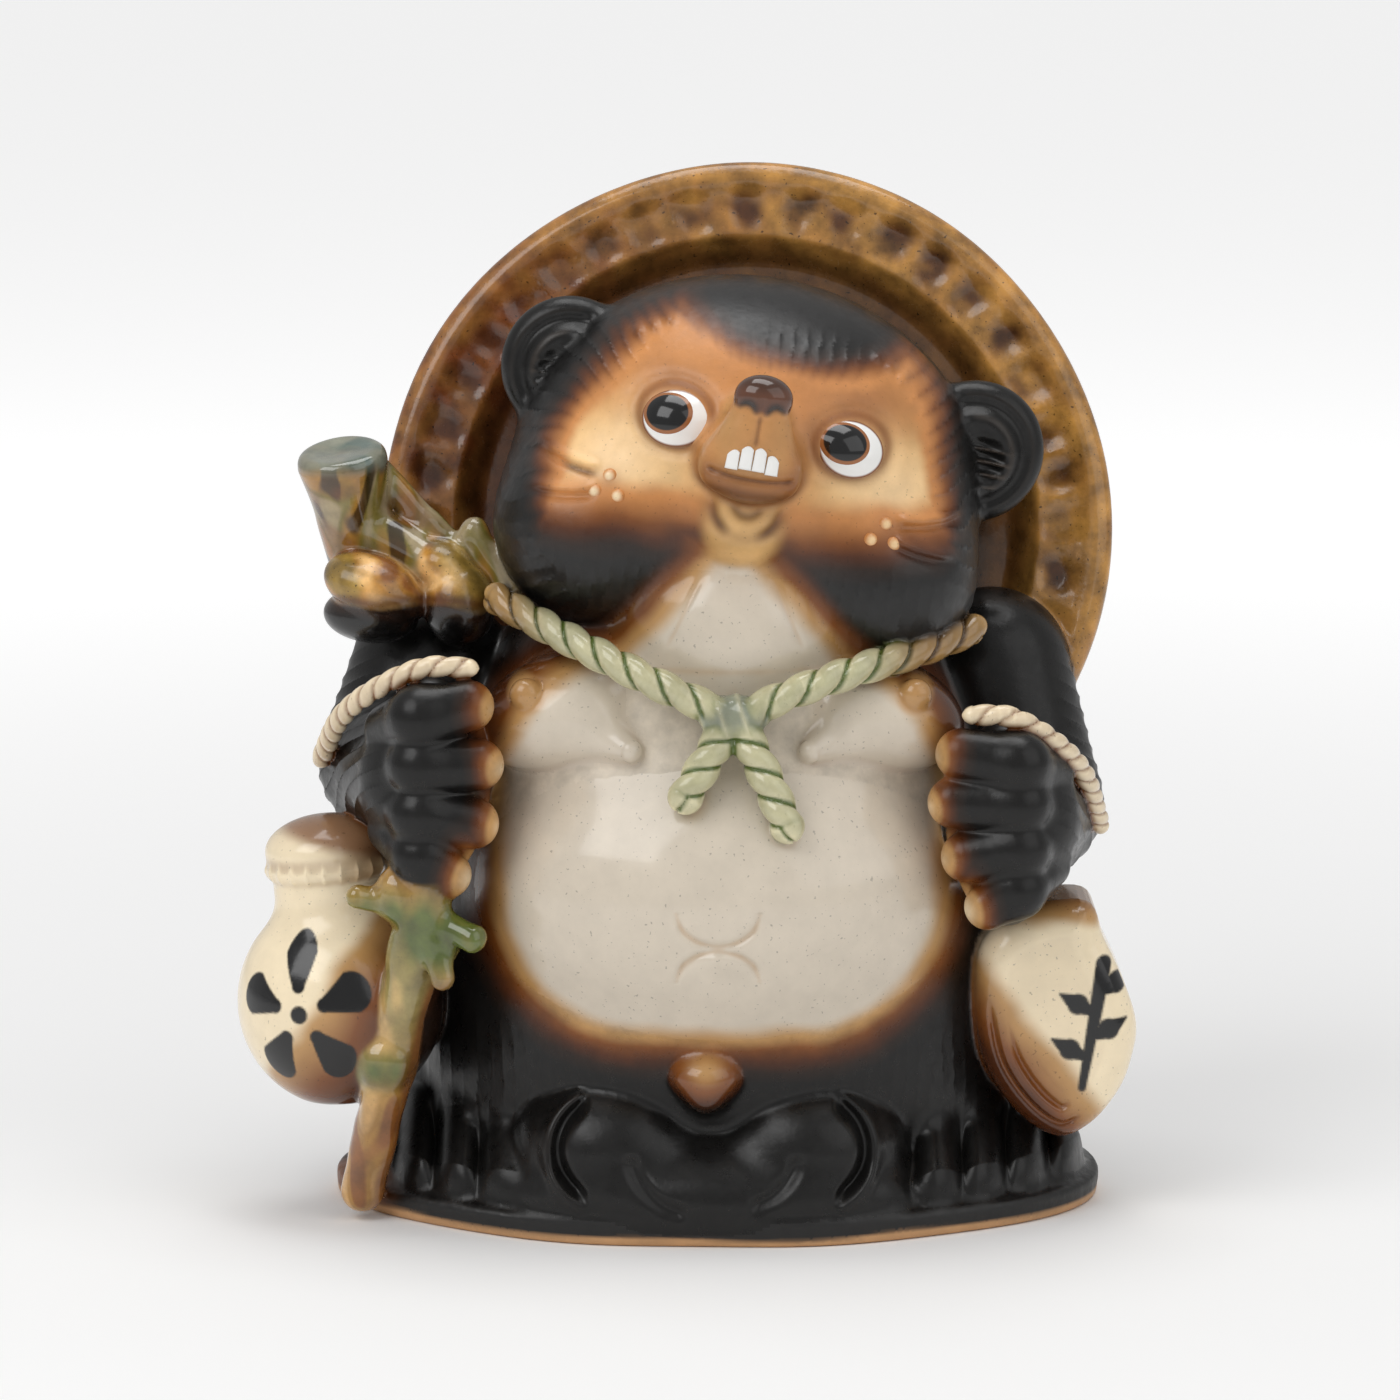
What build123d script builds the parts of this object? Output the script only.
"""Glazed ceramic tanuki figure, made of press-moulded pieces that are luted together before firing.

Millimetres, +Z up, the figure faces -Y. The origin is on the underside of the base, on the mid-plane of
the body. Left and right are the figure's own, so its right side is at -X. Each piece is cut back to the
pieces that carry it, so that the two meet face to face as luted clay does.
"""

import math
import os

from build123d import *
from build123d.topology import SkipClean

# Base plate and the vent that lets the hollow body breathe in the kiln
BASE_WIDTH = 150.0
BASE_DEPTH = 104.0
BASE_HEIGHT = 4.0
VENT_DIAMETER = 16.0
VENT_SETBACK = 22.0

# Hollow body: full widths and depths at five levels above the floor
WALL = 6.0
HIP_WIDTH = 116.0
HIP_DEPTH = 66.0
WAIST_WIDTH = 114.0
WAIST_DEPTH = 94.0
WAIST_LEVEL = 50.0
CHEST_WIDTH = 102.0
CHEST_DEPTH = 88.0
CHEST_LEVEL = 88.0
SHOULDER_WIDTH = 86.0
SHOULDER_DEPTH = 78.0
SHOULDER_LEVEL = 108.0
NECK_WIDTH = 56.0
NECK_DEPTH = 52.0
NECK_LEVEL = 126.0
NECK_BORE = 34.0

# Belly, its lower knob, chest pads and throat, as half-axes with a rise proud of the body; the spread
# of the chest pads is a share of the body's half-width
BELLY_RADII = (47.5, 35.5, 35.5)
BELLY_RISE = 10.0
BELLY_LEVEL = 63.5
KNOB_RADIUS = 4.4
CHEST_PAD_RADII = (15.0, 13.5, 13.5)
CHEST_PAD_RISE = 8.0
CHEST_PAD_SPREAD = 0.645
CHEST_PAD_LEVEL = 99.0
NIPPLE_RADIUS = 2.6
NIPPLE_OFFSET = (6.5, 4.5)
THROAT_RADII = (25.0, 21.5, 21.5)
THROAT_RISE = 10.0
THROAT_LEVEL = 115.0

# Head: a skull and two cheeks, rolled to one side
HEAD_OFFSET = (5.2, -4.0)
HEAD_LEVEL = 142.3
HEAD_ROLL = 10.0
SKULL_RADII = (46.0, 38.5, 38.5)
CHEEK_RADII = (20.0, 24.5, 20.0)
CHEEK_PLACE = (27.0, -14.0, -13.0)

# Face, placed by width and height from the middle of the head
EYE_RADIUS = 12.0
EYE_BULGE = 1.6
EYE_SPREAD = 17.0
EYE_HEIGHT = 12.0
PUPIL_RADIUS = 7.6
PUPIL_BULGE = 0.9
PUPIL_SHIFT = (-1.5, 1.5)
MUZZLE_WIDTH = 20.0
MUZZLE_HEIGHT = 19.0
MUZZLE_LENGTH = 17.0
MUZZLE_FLARE = 7.0
MUZZLE_LEVEL = 2.5
MUZZLE_EDGE = 2.5
NOSE_RADII = (5.6, 4.1, 4.1)
TOOTH_COUNT = 4
TOOTH_WIDTH = 2.3
TOOTH_HEIGHT = 4.6
TOOTH_GAP = 0.4
TOOTH_PROUD = 0.8
CHIN_RADII = (6.8, 9.0, 6.8)
CHIN_DROP = 8.5
DOT_RADIUS = 1.5
DOT_PITCH = 3.6
DOT_PLACE = (25.5, -3.6)

# Ears: a dished round on each side of the head
EAR_RADIUS = 13.5
EAR_BACK = 6.0
EAR_FRONT = 4.2
EAR_RIM = 3.6
EAR_DISH = 3.0
RIGHT_EAR_PLACE = (-39.0, -2.0, 14.0)
LEFT_EAR_PLACE = (45.0, -2.0, 7.0)
EAR_SPLAY = 24.0

# Hat: a domed cone with a dimpled brim, worn tipped back
HAT_RADIUS = 71.8
HAT_HEIGHT = 44.0
HAT_EDGE = 6.0
HAT_RECESS = 6.0
HAT_DISH = 2.0
BRIM_WIDTH = 14.5
HAT_TILT = 12.0
HAT_SETBACK = 14.0
HAT_DROP = 12.0
DIMPLE_COUNT = 40
DIMPLE_RADIUS = 6.5
DIMPLE_DEPTH = 1.2

# Arms and paws; each paw has its own height on the body
ARM_RADIUS = 16.0
WRIST_RADIUS = 13.0
ARM_LEVEL = 104.0
RIGHT_ARM_OUTSET = 12.0
LEFT_ARM_OUTSET = 8.0
PAW_REACH = 40.0
PAW_INSET = 1.5
RIGHT_PAW_LEVEL = 87.0
LEFT_PAW_LEVEL = 79.5
PAW_WIDTH = 26.0
PAW_DEPTH = 22.0
PAW_HEIGHT = 42.0
PAW_ROUND = 9.0
FINGER_COUNT = 4
FINGER_GROOVE = 1.5
CORD_RADIUS = 2.3

# Rope collar, its knot and two loose ends
ROPE_RADIUS = 3.1
ROPE_RISE = 0.6
KNOT_RADII = (6.4, 5.1, 5.1)
KNOT_LEVEL = 100.5
ROPE_END_RADIUS = 3.6
RIGHT_ROPE_END = (-9.5, -14.0)
LEFT_ROPE_END = (10.5, -19.0)

# Flask at the right hip
FLASK_RADIUS = 20.0
FLASK_HEIGHT = 46.0
FLASK_NECK_RADIUS = 11.0
FLASK_NECK_HEIGHT = 5.0
FLASK_CAP_RADIUS = 12.5
FLASK_CAP_HEIGHT = 11.0
FLASK_LEVEL = 21.0
FLASK_OUTSET = 14.0
FLASK_FORWARD = 20.0
FLASK_LEAN = -5.0

# Account book at the left hip
BOOK_WIDTH = 27.0
BOOK_HEIGHT = 46.0
BOOK_THICKNESS = 26.0
BOOK_CORNER = 8.0
BOOK_TAPER = 5.0
BOOK_LEVEL = 15.0
BOOK_OUTSET = 8.0
BOOK_FORWARD = 18.0
BOOK_LEAN = -14.0
PAGE_COUNT = 3
PAGE_PITCH = 4.0
PAGE_GROOVE = 1.0

# Walking staff: a forked top on the right shoulder, and a shaft from the right paw to the base
STAFF_RADIUS = 5.4
STAFF_FOOT_RADIUS = 4.6
STAFF_FORWARD = 31.0
STAFF_FOOT_INSET = 6.0
KNURL_RADIUS = 6.2
STUMP_RADIUS = 8.7
STUMP_LENGTH = 22.5
FORK_RADIUS = 5.4
FORK_LENGTH = 24.0
BURL_RADII = (10.5, 9.0, 9.0)
BURL_SPREAD = 15.0
BURL_FORWARD = 14.0
BURL_LEVEL = 118.0

# Feet, lap pouch and tail; the rounds of feet and pouch start a little below the top of the base
LAP_SINK = 1.3
TOE_COUNT = 4
TOE_RADII = (4.6, 8.0, 8.0)
TOE_PITCH = 7.4
TOE_INSET = 7.5
TOE_FAN = 10.0
FOOT_SPREAD = 52.5
FOOT_RADII = (17.5, 17.5, 26.5)
POUCH_RADII = (19.0, 19.0, 29.0)
POUCH_SPREAD = 15.5
POUCH_INSET = 3.0
TAIL_ROOT_RADIUS = 13.0
TAIL_TIP_RADIUS = 8.0
TAIL_LENGTH = 30.0
TAIL_LEAN = 28.0

# Where the seam line of a round form lies, out of line with its neighbours
SEAM_ANGLE = 37.0

# The figure's two sides
SIDES = (("right", -1), ("left", 1))


def turned(outline):
    """A solid of revolution about Z in two halves, from an outline drawn as (radius, height)."""
    section = make_face(Plane.XZ * (Curve() + outline))
    half = revolve(section, Axis.Z, 180)
    return Rot(0, 0, SEAM_ANGLE) * half + Rot(0, 0, SEAM_ANGLE + 180) * half


def oval(centre, radii, turn=(0, 0, 0)):
    """A ball drawn out along the one axis whose half-length differs from the other two."""
    across, deep, tall = radii
    if deep == tall:
        along, around, stand = across, deep, Rot(0, 90, 0)
    elif across == tall:
        along, around, stand = deep, across, Rot(90, 0, 0)
    else:
        along, around, stand = tall, across, Rot(0, 0, 0)
    outline = [
        EllipticalCenterArc((0, 0), around, along, start_angle=-90, arc_size=180),
        Line((0, along), (0, -along)),
    ]
    return Location(centre, turn) * (stand * turned(outline))


def limb(start, start_radius, end, end_radius):
    """Two balls and the cone that is tangent to both."""
    run = Vector(*end) - Vector(*start)
    length = run.length
    slope = math.asin((start_radius - end_radius) / length)
    lean = math.degrees(slope)
    low = (start_radius * math.cos(slope), start_radius * math.sin(slope))
    high = (end_radius * math.cos(slope), length + end_radius * math.sin(slope))
    outline = [
        CenterArc((0, 0), start_radius, -90, 90 + lean),
        Line(low, high),
        CenterArc((0, length), end_radius, lean, 90 - lean),
        Line((0, length + end_radius), (0, -start_radius)),
    ]
    return Plane(origin=start, z_dir=run) * turned(outline)


def tube(points, radius):
    """A round bar along the arc through three points."""
    path = ThreePointArc(*points)
    return sweep(Plane(origin=path @ 0, z_dir=path % 0) * Circle(radius), path)


def seat(piece, *carriers):
    """The piece, cut back to the forms that carry it, without the scraps that a cut leaves behind them."""
    for carrier in carriers:
        piece = piece - carrier
    return max(piece.solids(), key=lambda solid: solid.volume)


# Body

def body_levels(inset=0.0):
    """(height, half-width, half-depth) of each section, taken in by an inset."""
    levels = [
        (BASE_HEIGHT, HIP_WIDTH, HIP_DEPTH),
        (WAIST_LEVEL, WAIST_WIDTH, WAIST_DEPTH),
        (CHEST_LEVEL, CHEST_WIDTH, CHEST_DEPTH),
        (SHOULDER_LEVEL, SHOULDER_WIDTH, SHOULDER_DEPTH),
        (NECK_LEVEL, NECK_WIDTH, NECK_DEPTH),
    ]
    return [(height, width / 2 - inset, depth / 2 - inset) for height, width, depth in levels]


def body_form(inset=0.0):
    """The body's outside, or its cavity where an inset is given."""
    return loft([Pos(0, 0, height) * Ellipse(a, b) for height, a, b in body_levels(inset)])


def body_size(level):
    """(half-width, half-depth) of the body at a height."""
    levels = body_levels()
    for (low, a, b), (high, c, d) in zip(levels, levels[1:]):
        if level <= high:
            share = max(0.0, (level - low) / (high - low))
            return a + (c - a) * share, b + (d - b) * share
    return levels[-1][1:]


def body_front(x, level):
    """The y of the body's front face at a width and height."""
    half_width, half_depth = body_size(level)
    return -half_depth * math.sqrt(max(0.0, 1 - (x / half_width) ** 2))


def base_plate():
    plate = extrude(Ellipse(BASE_WIDTH / 2, BASE_DEPTH / 2), BASE_HEIGHT)
    vent = Pos(0, VENT_SETBACK, BASE_HEIGHT / 2) * Cylinder(VENT_DIAMETER / 2, 2 * BASE_HEIGHT)
    return plate - vent


def base_front(x, inset=0.0):
    """The y of the base's front edge at a width, taken in by an inset."""
    half_width = BASE_WIDTH / 2 - inset
    half_depth = BASE_DEPTH / 2 - inset
    return -half_depth * math.sqrt(max(0.0, 1 - (x / half_width) ** 2))


def belly_form():
    depth = body_size(BELLY_LEVEL)[1] + BELLY_RISE - BELLY_RADII[1]
    return oval((0, -depth, BELLY_LEVEL), BELLY_RADII)


def belly_knob():
    level = BELLY_LEVEL - 0.86 * BELLY_RADII[2]
    y = body_front(0, level) - KNOB_RADIUS / 2
    return limb((0, y + 2 * KNOB_RADIUS, level), KNOB_RADIUS, (0, y, level), 0.9 * KNOB_RADIUS)


def chest_pad(side):
    """One breast with its nipple, on the side given by a sign."""
    x = side * CHEST_PAD_SPREAD * body_size(CHEST_PAD_LEVEL)[0]
    y = body_front(x, CHEST_PAD_LEVEL) - CHEST_PAD_RISE
    pad = oval((x, y + CHEST_PAD_RADII[1], CHEST_PAD_LEVEL), CHEST_PAD_RADII)
    out, up = NIPPLE_OFFSET
    share = (out / CHEST_PAD_RADII[0]) ** 2 + (up / CHEST_PAD_RADII[2]) ** 2
    face = y + CHEST_PAD_RADII[1] * (1 - math.sqrt(1 - share))
    nipple = Pos(x + side * out, face, CHEST_PAD_LEVEL + up) * Sphere(NIPPLE_RADIUS)
    return pad + nipple


def throat_form():
    y = body_front(HEAD_OFFSET[0], THROAT_LEVEL) - THROAT_RISE
    return oval((HEAD_OFFSET[0] / 2, y + THROAT_RADII[1], THROAT_LEVEL), THROAT_RADII)


# Head and face

def head_frame():
    return Location((*HEAD_OFFSET, HEAD_LEVEL), (0, HEAD_ROLL, 0))


def skull_front(across, up):
    """The head-frame depth of the skull's face at a place on it."""
    share = (across / SKULL_RADII[0]) ** 2 + (up / SKULL_RADII[2]) ** 2
    return -SKULL_RADII[1] * math.sqrt(1 - share)


def head_form():
    across, deep, up = CHEEK_PLACE
    head = oval((0, 0, 0), SKULL_RADII)
    for side in (-1, 1):
        head += oval((side * across, deep, up), CHEEK_RADII)
    return head_frame() * head


def head_cavity():
    """The hollow of the skull, with a bore down through the neck."""
    bore = Pos(0, 0, HEAD_LEVEL - SKULL_RADII[2]) * Cylinder(NECK_BORE / 2, SKULL_RADII[2])
    hollow = oval((0, 0, 0), [radius - WALL for radius in SKULL_RADII])
    return bore + head_frame() * hollow


def eye_place(side):
    """The middle of the eye's ball, and the way it looks, in the head frame."""
    place = Vector(side * EYE_SPREAD, skull_front(EYE_SPREAD, EYE_HEIGHT), EYE_HEIGHT)
    slope = Vector(*[along / radius**2 for along, radius in zip(place, SKULL_RADII)]).normalized()
    return place - slope * (EYE_RADIUS - EYE_BULGE), slope


def eye(side):
    """A ball sunk in the skull, of which a low round cap shows."""
    return head_frame() * (Pos(eye_place(side)[0]) * Sphere(EYE_RADIUS))


def pupil(side):
    """A smaller ball sunk in the eye, a little up and to one side."""
    middle, slope = eye_place(side)
    across, up = PUPIL_SHIFT
    look = (slope * EYE_RADIUS + Vector(across, 0, up)).normalized()
    place = middle + look * (EYE_RADIUS + PUPIL_BULGE - PUPIL_RADIUS)
    return head_frame() * (Pos(place) * Sphere(PUPIL_RADIUS))


def muzzle_arch(width, height):
    """A round-topped arch that stands on its lip line."""
    half = width / 2
    lip = ThreePointArc((-half, 0), (0, -0.12 * height), (half, 0))
    top = Spline((half, 0), (0, height), (-half, 0), tangents=[(-0.1, 1), (-1, 0), (-0.1, -1)])
    return make_face([lip, top])


def muzzle_tip():
    return skull_front(0, MUZZLE_LEVEL + MUZZLE_HEIGHT / 2) - MUZZLE_LENGTH


def muzzle_form():
    tip = muzzle_tip()
    root = tip + 2 * MUZZLE_LENGTH
    wide, tall = MUZZLE_WIDTH + 2 * MUZZLE_FLARE, MUZZLE_HEIGHT + MUZZLE_FLARE
    low = MUZZLE_LEVEL - MUZZLE_FLARE / 2
    face = Plane((0, tip, MUZZLE_LEVEL), x_dir=(1, 0, 0), z_dir=(0, -1, 0))
    back = Plane((0, root, low), x_dir=(1, 0, 0), z_dir=(0, -1, 0))
    snout = loft([back * muzzle_arch(wide, tall), face * muzzle_arch(MUZZLE_WIDTH, MUZZLE_HEIGHT)])
    front_edges = snout.faces().sort_by(Axis.Y)[0].edges()
    return head_frame() * fillet(front_edges, min(MUZZLE_EDGE, MUZZLE_HEIGHT / 5))


def nose():
    level = MUZZLE_LEVEL + MUZZLE_HEIGHT - NOSE_RADII[2]
    return head_frame() * oval((0, muzzle_tip() + NOSE_RADII[1] / 2, level), NOSE_RADII)


def teeth():
    """A row of flat teeth, long in the middle, on the front of the muzzle."""
    pitch = TOOTH_WIDTH + TOOTH_GAP
    root = muzzle_tip()
    row = []
    for index in range(TOOTH_COUNT):
        place = index - (TOOTH_COUNT - 1) / 2
        height = TOOTH_HEIGHT * (1 - 0.12 * abs(place))
        level = MUZZLE_LEVEL + 0.2 * MUZZLE_HEIGHT + height / 2 - 0.5 * abs(place)
        at = Plane((place * pitch, root, level), x_dir=(1, 0, 0), z_dir=(0, -1, 0))
        tooth = extrude(at * RectangleRounded(TOOTH_WIDTH, height, TOOTH_WIDTH / 4), TOOTH_PROUD)
        row.append(head_frame() * tooth)
    return Compound(children=row)


def chin():
    level = MUZZLE_LEVEL - CHIN_DROP
    return head_frame() * oval((0, skull_front(0, level), level), CHIN_RADII)


def cheek_dots(side):
    """Three whisker dots in a triangle on one cheek."""
    across, up = DOT_PLACE
    dots = []
    for turn in (90, 210, 330):
        x = side * across + DOT_PITCH / math.sqrt(3) * math.cos(math.radians(turn))
        z = up + DOT_PITCH / math.sqrt(3) * math.sin(math.radians(turn))
        dots.append(head_frame() * (Pos(x, face_depth(x, z), z) * Sphere(DOT_RADIUS)))
    return dots


def face_depth(x, z):
    """The head-frame depth of the head's face: the skull's or a cheek's, whichever is further out."""
    deep = [skull_front(x, z)]
    across, back, up = CHEEK_PLACE
    share = ((abs(x) - across) / CHEEK_RADII[0]) ** 2 + ((z - up) / CHEEK_RADII[2]) ** 2
    if share < 1:
        deep.append(back - CHEEK_RADII[1] * math.sqrt(1 - share))
    return min(deep)


def ear(place, side):
    """A dished round, open to the front and splayed to its side."""
    rim = EAR_RADIUS - EAR_RIM
    deep = EAR_DISH - EAR_FRONT
    outline = [
        ThreePointArc((0, deep), (0.55 * rim, deep - 0.3 * EAR_DISH), (rim, -EAR_FRONT)),
        ThreePointArc((rim, -EAR_FRONT), (EAR_RADIUS - 0.25 * EAR_RIM, -0.7 * EAR_FRONT), (EAR_RADIUS, 0)),
        ThreePointArc((EAR_RADIUS, 0), (0.72 * EAR_RADIUS, 0.68 * EAR_BACK), (0, EAR_BACK)),
        Line((0, EAR_BACK), (0, deep)),
    ]
    return head_frame() * (Location(place, (0, side * EAR_SPLAY, 0)) * (Rot(-90, 0, 0) * turned(outline)))


# Hat

def hat_plane():
    tilt = math.radians(HAT_TILT)
    middle = (HEAD_OFFSET[0], HEAD_OFFSET[1] + HAT_SETBACK, HEAD_LEVEL - HAT_DROP)
    return Plane(origin=middle, x_dir=(1, 0, 0), z_dir=(0, math.cos(tilt), -math.sin(tilt)))


def hat_form():
    """A domed cone, turned about its own axis, with a shallow recess inside its brim for the head."""
    hollow = HAT_RADIUS - BRIM_WIDTH
    edge = HAT_EDGE / 2
    outline = [
        Line((0, HAT_RECESS), (hollow - HAT_DISH, HAT_RECESS)),
        Line((hollow - HAT_DISH, HAT_RECESS), (hollow, HAT_DISH)),
        Line((hollow, HAT_DISH), (HAT_RADIUS - edge, 0)),
        CenterArc((HAT_RADIUS - edge, edge), edge, -90, 180),
        ThreePointArc(
            (HAT_RADIUS - edge, HAT_EDGE),
            (0.55 * HAT_RADIUS, HAT_EDGE + 0.52 * (HAT_HEIGHT - HAT_EDGE)),
            (0, HAT_HEIGHT),
        ),
        Line((0, HAT_HEIGHT), (0, HAT_RECESS)),
    ]
    return hat_plane() * turned(outline)


def brim_dimples():
    """Thumb marks round the brim, as far down as it stands clear of the shoulders."""
    ring = PolarLocations(HAT_RADIUS - 0.58 * BRIM_WIDTH, DIMPLE_COUNT)
    lift = DIMPLE_DEPTH - DIMPLE_RADIUS + HAT_DISH / 2
    balls = [hat_plane() * (place * Pos(0, 0, lift) * Sphere(DIMPLE_RADIUS)) for place in ring]
    return [ball for ball in balls if ball.center().Z > ARM_LEVEL + ARM_RADIUS]


# Arms, paws and their cords

def arm_outset(side):
    return RIGHT_ARM_OUTSET if side < 0 else LEFT_ARM_OUTSET


def paw_level(side):
    return RIGHT_PAW_LEVEL if side < 0 else LEFT_PAW_LEVEL


def paw_centre(side):
    level = paw_level(side)
    x = side * (body_size(level)[0] + PAW_INSET)
    return (x, -PAW_REACH, level)


def elbow(side):
    level = paw_level(side) - 2
    return (side * (body_size(level)[0] + arm_outset(side)), -2, level)


def arm(side):
    """Upper arm down to the elbow, then forearm forward to the paw."""
    shoulder = (side * (body_size(ARM_LEVEL)[0] + arm_outset(side)), 2, ARM_LEVEL)
    x, y, z = paw_centre(side)
    bend_x, bend_y, bend_z = elbow(side)
    upper = limb(shoulder, ARM_RADIUS, (bend_x, bend_y, bend_z), 0.97 * ARM_RADIUS)
    wrist = (x + side * 2, y + PAW_DEPTH / 2, z)
    fore = limb((bend_x, bend_y - 4, bend_z), 0.93 * ARM_RADIUS, wrist, WRIST_RADIUS)
    return upper + fore


def paw(side):
    """A rounded fist, with grooves between the fingers on its front and on the side towards the belly."""
    x, y, z = paw_centre(side)
    fist = fillet(Box(PAW_WIDTH, PAW_DEPTH, PAW_HEIGHT).edges(), PAW_ROUND)
    for index in range(1, FINGER_COUNT):
        level = PAW_HEIGHT * (0.5 - index / FINGER_COUNT)
        across = Pos(0, -PAW_DEPTH / 2, level) * Rot(0, 90, 0) * Cylinder(FINGER_GROOVE, 2 * PAW_WIDTH)
        along = Pos(-side * PAW_WIDTH / 2, 0, level) * Rot(90, 0, 0) * Cylinder(FINGER_GROOVE, PAW_DEPTH)
        fist -= [across, along]
    return Pos(x, y + PAW_DEPTH / 8, z) * fist


def wrist_cord(side):
    """The cord over the wrist, from the top of the fist round the outside of the forearm."""
    x, y, z = paw_centre(side)
    top = (x - side * PAW_WIDTH / 7, y, z + PAW_HEIGHT / 2 + CORD_RADIUS / 2)
    over = (x + side * 0.46 * PAW_WIDTH, y + PAW_DEPTH / 7, z + 0.43 * PAW_HEIGHT)
    out = (x + side * (0.65 * WRIST_RADIUS + arm_outset(side)), y + 0.9 * PAW_DEPTH, z + CORD_RADIUS)
    return tube((top, over, out), CORD_RADIUS)


# Rope collar

def knot_centre():
    y = body_front(HEAD_OFFSET[0], KNOT_LEVEL) - THROAT_RISE + 0.9 * KNOT_RADII[1]
    return (HEAD_OFFSET[0] / 2, y, KNOT_LEVEL)


def collar(side):
    """One half of the collar, from the shoulder down to the knot."""
    x, y, z = knot_centre()
    reach = SHOULDER_WIDTH / 2
    top_level = SHOULDER_LEVEL + 9
    middle_level = (top_level + z) / 2 + 1
    middle_front = body_front(reach / 2, middle_level) - THROAT_RISE / 2 - ROPE_RISE
    middle = (x + side * reach / 2, middle_front, middle_level)
    top = (side * reach, body_front(0.75 * reach, top_level), top_level)
    return tube(((x, y, z), middle, top), ROPE_RADIUS)


def rope_end(across, down):
    x, y, z = knot_centre()
    level = z + down
    tip = (x + across, body_front(x + across, level) - BELLY_RISE / 2, level)
    return limb((x + 0.3 * across, y, z), ROPE_RADIUS, tip, ROPE_END_RADIUS)


# Things that the figure carries

def flask_frame():
    x = -(body_size(FLASK_LEVEL)[0] + FLASK_OUTSET)
    return Location((x, -FLASK_FORWARD, FLASK_LEVEL), (0, FLASK_LEAN, 0))


def flask_form():
    """A round sake bottle with a short neck."""
    shoulder = FLASK_HEIGHT - FLASK_NECK_HEIGHT
    outline = [
        Line((0, 0), (0.45 * FLASK_RADIUS, 0)),
        Spline(
            (0.45 * FLASK_RADIUS, 0),
            (FLASK_RADIUS, 0.5 * shoulder),
            (FLASK_NECK_RADIUS, shoulder),
            tangents=[(1, 0.35), (0, 1), (-0.8, 1)],
        ),
        Line((FLASK_NECK_RADIUS, shoulder), (FLASK_NECK_RADIUS, FLASK_HEIGHT)),
        Line((FLASK_NECK_RADIUS, FLASK_HEIGHT), (0, FLASK_HEIGHT)),
        Line((0, FLASK_HEIGHT), (0, 0)),
    ]
    return flask_frame() * turned(outline)


def flask_cap():
    """The rounded collar and stopper on the flask's neck."""
    cap = Pos(0, 0, FLASK_HEIGHT + FLASK_CAP_HEIGHT / 2) * Cylinder(FLASK_CAP_RADIUS, FLASK_CAP_HEIGHT)
    return flask_frame() * fillet(cap.edges().filter_by(GeomType.CIRCLE), 0.4 * FLASK_CAP_HEIGHT)


def book_frame():
    level = BOOK_LEVEL + BOOK_HEIGHT / 2
    x = body_size(level)[0] + BOOK_OUTSET
    return Location((x, -BOOK_FORWARD, level), (0, BOOK_LEAN, 0))


def book_form():
    """A hanging account book, fat at the foot, with page lines down its inner edge."""
    front = Plane.XZ.offset(BOOK_THICKNESS / 2)
    back = Plane.XZ.offset(-BOOK_THICKNESS / 2)
    small = RectangleRounded(BOOK_WIDTH - 2 * BOOK_TAPER, BOOK_HEIGHT - 2 * BOOK_TAPER, BOOK_CORNER - 2)
    full = RectangleRounded(BOOK_WIDTH, BOOK_HEIGHT, BOOK_CORNER)
    book = loft([back * full, Plane.XZ * full, front * small])
    for index in range(PAGE_COUNT):
        y = -PAGE_PITCH * index
        groove = Pos(-BOOK_WIDTH / 2, y, 0) * Box(2 * PAGE_GROOVE, PAGE_GROOVE, 0.7 * BOOK_HEIGHT)
        book -= groove
    return book_frame() * book


def staff_points():
    """The top, at the right paw, and the foot, on the base."""
    x, y, z = paw_centre(-1)
    top = (x + 1, y - 1, z - PAW_HEIGHT / 2 + STAFF_RADIUS)
    foot_x = -(BASE_WIDTH / 2 - STAFF_FOOT_INSET)
    return top, (foot_x, -STAFF_FORWARD + STAFF_FOOT_INSET, BASE_HEIGHT + STAFF_FOOT_RADIUS / 2)


def staff_shaft():
    """The staff below the paw, with two swollen knots."""
    top, foot = staff_points()
    shaft = limb(top, STAFF_RADIUS, foot, STAFF_FOOT_RADIUS)
    for share in (0.12, 0.6):
        knot = Vector(*top) + (Vector(*foot) - Vector(*top)) * share
        shaft += Pos(knot) * Sphere(KNURL_RADIUS)
    return shaft


def shoulder_x():
    return -(body_size(ARM_LEVEL)[0] + RIGHT_ARM_OUTSET)


def staff_burl(side):
    """One of the two gnarled lumps on the shoulder, left or right by a sign."""
    x = shoulder_x() + side * BURL_SPREAD / 2
    return oval((x, -BURL_FORWARD, BURL_LEVEL), BURL_RADII, (0, 12 * side, 0))


def staff_stump():
    """The sawn-off top of the staff."""
    x = shoulder_x() - BURL_SPREAD / 2
    foot = (x, -BURL_FORWARD / 2, BURL_LEVEL + BURL_RADII[2] / 2)
    stand = (Align.CENTER, Align.CENTER, Align.MIN)
    stump = Cone(0.72 * STUMP_RADIUS, STUMP_RADIUS, STUMP_LENGTH, align=stand)
    stump = fillet(stump.edges().sort_by(Axis.Z)[-1], STUMP_RADIUS / 5)
    return Location(foot, (-8, -6, 0)) * stump


def staff_fork():
    """The side branch, from the stump down to the shoulder."""
    x = shoulder_x() - BURL_SPREAD / 2
    high = (x + 0.4 * STUMP_RADIUS, -BURL_FORWARD / 2, BURL_LEVEL + STUMP_LENGTH)
    low = (high[0] + FORK_LENGTH, high[1] - 4, BURL_LEVEL + BURL_RADII[2])
    return limb(high, FORK_RADIUS, low, 0.85 * FORK_RADIUS)


# Feet, pouch and tail

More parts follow.
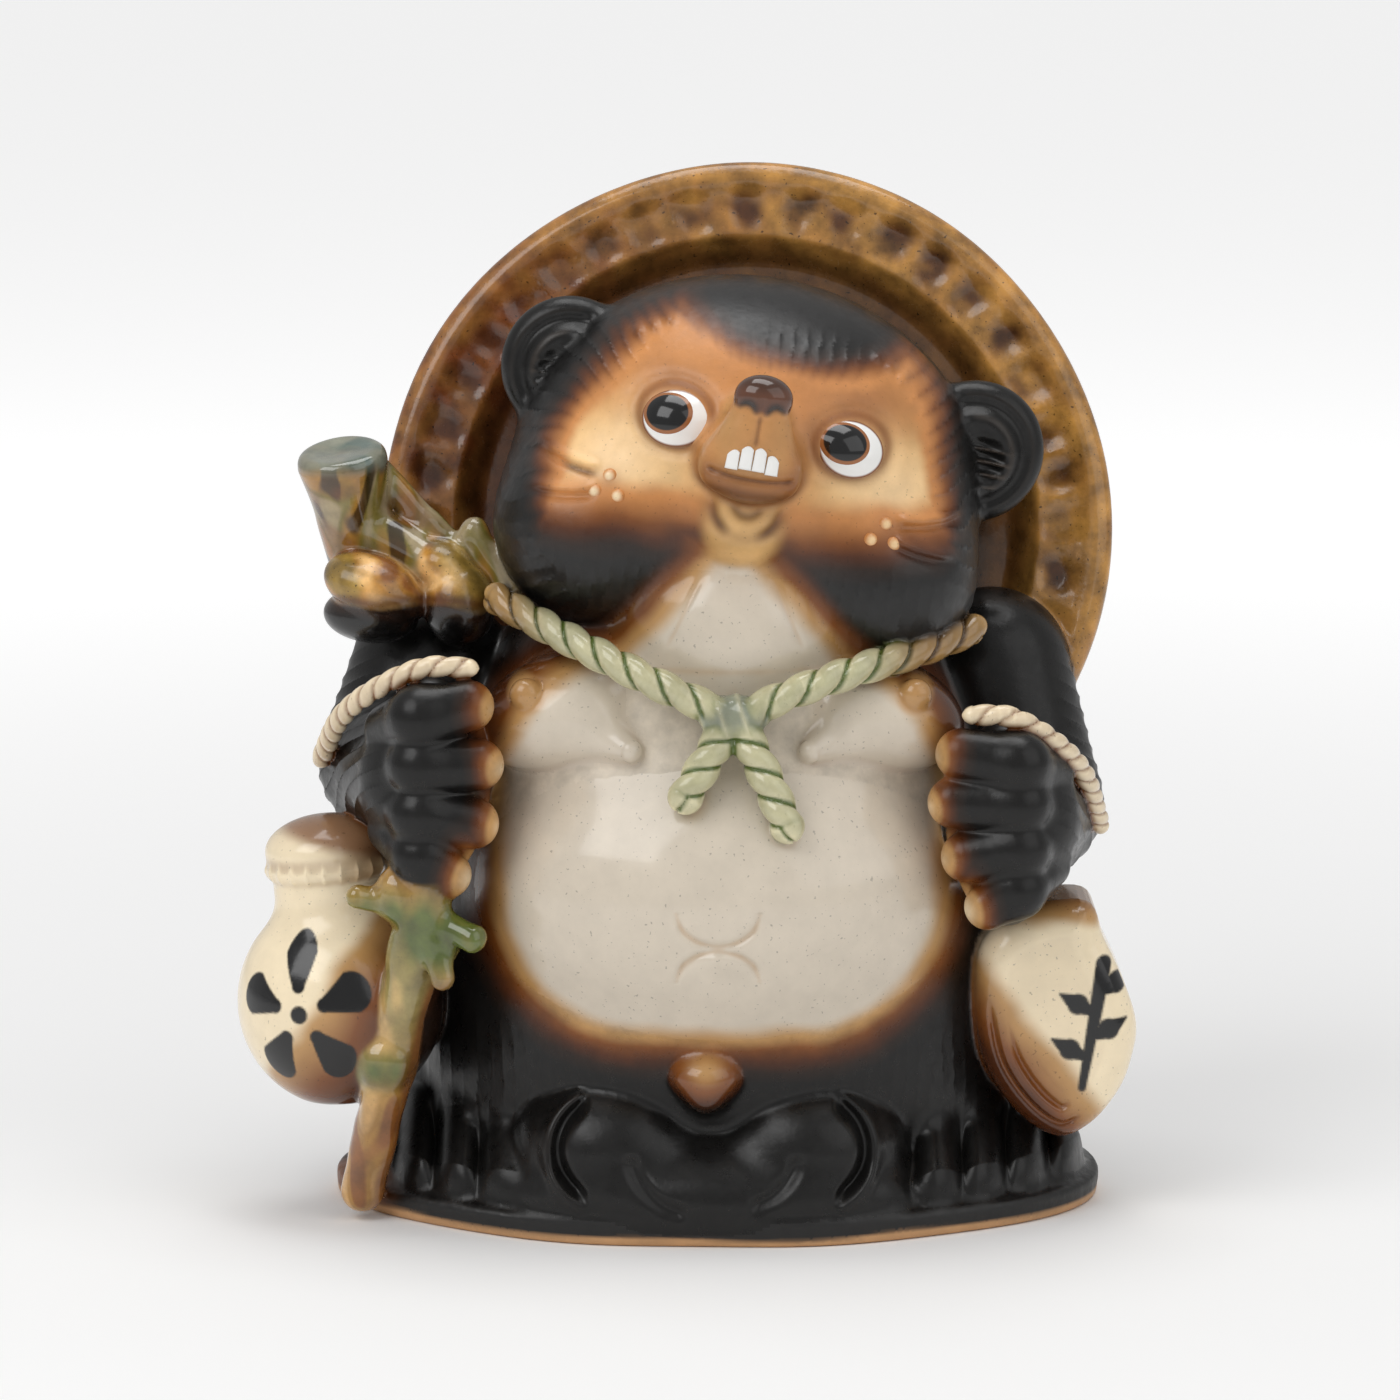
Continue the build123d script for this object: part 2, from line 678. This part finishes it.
def foot(side):
    """An instep with its toes spread along the front edge of the base."""
    x = side * FOOT_SPREAD
    form = oval((x, base_front(x, TOE_INSET) + 0.8 * FOOT_RADII[1], BASE_HEIGHT - LAP_SINK), FOOT_RADII)
    for index in range(TOE_COUNT):
        place = index - (TOE_COUNT - 1) / 2
        toe_x = x + side * TOE_PITCH * place
        centre = (toe_x, base_front(toe_x, TOE_INSET), BASE_HEIGHT + TOE_RADII[2] / 2)
        form += oval(centre, TOE_RADII, (0, 0, side * TOE_FAN * place))
    return form


def lap_pouch():
    """Two lobes side by side that rest on the base in front of the belly."""
    y = base_front(0, POUCH_INSET) + POUCH_RADII[1]
    lobes = [oval((side * POUCH_SPREAD, y, BASE_HEIGHT - LAP_SINK), POUCH_RADII) for side in (-1, 1)]
    return lobes[0] + lobes[1]


def tail():
    lean = math.radians(TAIL_LEAN)
    root = (0, body_size(BASE_HEIGHT)[1], BASE_HEIGHT + 0.7 * TAIL_ROOT_RADIUS)
    tip = (TAIL_LENGTH * math.sin(lean), root[1], root[2] + TAIL_LENGTH * math.cos(lean))
    return limb(root, TAIL_ROOT_RADIUS, tip, TAIL_TIP_RADIUS)


def raw_forms():
    """The forms before any cut; a piece is cut back to these where it meets them."""
    forms = {
        "floor": Pos(0, 0, BASE_HEIGHT - 100) * Box(400, 400, 200),
        "body": body_form(),
        "head": head_form(),
        "belly": belly_form(),
        "throat": throat_form(),
        "pouch": lap_pouch(),
        "hat": hat_form(),
        "muzzle": muzzle_form(),
        "knot": oval(knot_centre(), KNOT_RADII),
        "outer_burl": staff_burl(-1),
        "inner_burl": staff_burl(1),
        "stump": staff_stump(),
        "shaft": staff_shaft(),
        "flask": flask_form(),
    }
    for name, side in SIDES:
        forms[f"{name}_pad"] = chest_pad(side)
        forms[f"{name}_arm"] = arm(side)
        forms[f"{name}_paw"] = paw(side)
        forms[f"{name}_foot"] = foot(side)
        forms[f"{name}_rope"] = collar(side)
        forms[f"{name}_eye"] = eye(side)
    return forms


def build():
    """Every piece by name, each cut back to what carries it."""
    forms = raw_forms()

    def fit(piece, *names):
        return seat(piece, *[forms[name] for name in names])

    cavity = body_form(WALL)
    pieces = {
        "base_plate": base_plate(),
        "body_shell": seat(forms["body"], cavity, forms["head"]),
        "head_shell": seat(forms["head"], head_cavity()),
        "belly": fit(forms["belly"], "body"),
        "throat": fit(forms["throat"], "body", "head", "belly"),
        "lap_pouch": fit(forms["pouch"], "body", "belly", "floor"),
        "belly_knob": fit(belly_knob(), "body", "belly", "pouch"),
        "tail": fit(tail(), "body", "floor"),
        "hat": seat(fit(forms["hat"], "body", "head", "right_arm", "left_arm"), *brim_dimples()),
        "muzzle": fit(forms["muzzle"], "head"),
        "nose": fit(nose(), "muzzle", "head"),
        "teeth": teeth(),
        "chin": fit(chin(), "head", "muzzle", "throat"),
        "collar_knot": fit(forms["knot"], "body", "belly", "throat"),
    }
    ear_places = {-1: RIGHT_EAR_PLACE, 1: LEFT_EAR_PLACE}
    rope_ends = {-1: RIGHT_ROPE_END, 1: LEFT_ROPE_END}
    burls = {-1: ("outer_burl", "inner_burl"), 1: ()}
    for name, side in SIDES:
        pad, limb_form, fist, rope = f"{name}_pad", f"{name}_arm", f"{name}_paw", f"{name}_rope"
        dots = [fit(dot, "head") for dot in cheek_dots(side)]
        pieces.update({
            f"{name}_chest_pad": fit(forms[pad], "body", "belly", "throat", "head"),
            f"{name}_arm": fit(forms[limb_form], "body", "head", "belly", pad),
            f"{name}_paw": fit(forms[fist], "body", "belly", pad, limb_form),
            f"{name}_foot": fit(forms[f"{name}_foot"], "body", "belly", "pouch", "floor"),
            f"{name}_wrist_cord": fit(wrist_cord(side), "body", pad, limb_form, fist),
            f"{name}_eye": fit(forms[f"{name}_eye"], "head", "muzzle"),
            f"{name}_pupil": fit(pupil(side), "head", f"{name}_eye"),
            f"{name}_cheek_dots": Compound(children=dots),
            f"{name}_ear": fit(ear(ear_places[side], side), "head", "hat"),
            f"{name}_collar_rope": fit(
                forms[rope], "body", "head", "throat", pad, "belly", "knot", limb_form, fist, *burls[side]
            ),
            f"{name}_rope_end": fit(
                rope_end(*rope_ends[side]), "body", "belly", "throat", "knot", pad, rope
            ),
        })
    shoulder = ("body", "head", "hat", "right_arm", "right_paw")
    hip = ("body", "belly", "right_arm", "right_paw", "right_foot", "shaft")
    pieces.update({
        "staff_outer_burl": fit(forms["outer_burl"], *shoulder),
        "staff_inner_burl": fit(forms["inner_burl"], *shoulder, "outer_burl"),
        "staff_stump": fit(forms["stump"], *shoulder, "outer_burl", "inner_burl"),
        "staff_fork": fit(staff_fork(), *shoulder, "outer_burl", "inner_burl", "stump"),
        "staff_shaft": fit(forms["shaft"], "body", "belly", "right_arm", "right_paw", "right_foot", "floor"),
        "flask": fit(forms["flask"], *hip),
        "flask_cap": fit(flask_cap(), *hip, "flask"),
        "account_book": fit(book_form(), "body", "belly", "left_arm", "left_paw", "left_foot"),
    })
    return pieces


def export(pieces):
    os.makedirs("parts", exist_ok=True)
    for name, piece in pieces.items():
        export_step(piece, f"parts/{name}.step")


if __name__ == "__main__":
    with SkipClean():
        export(build())
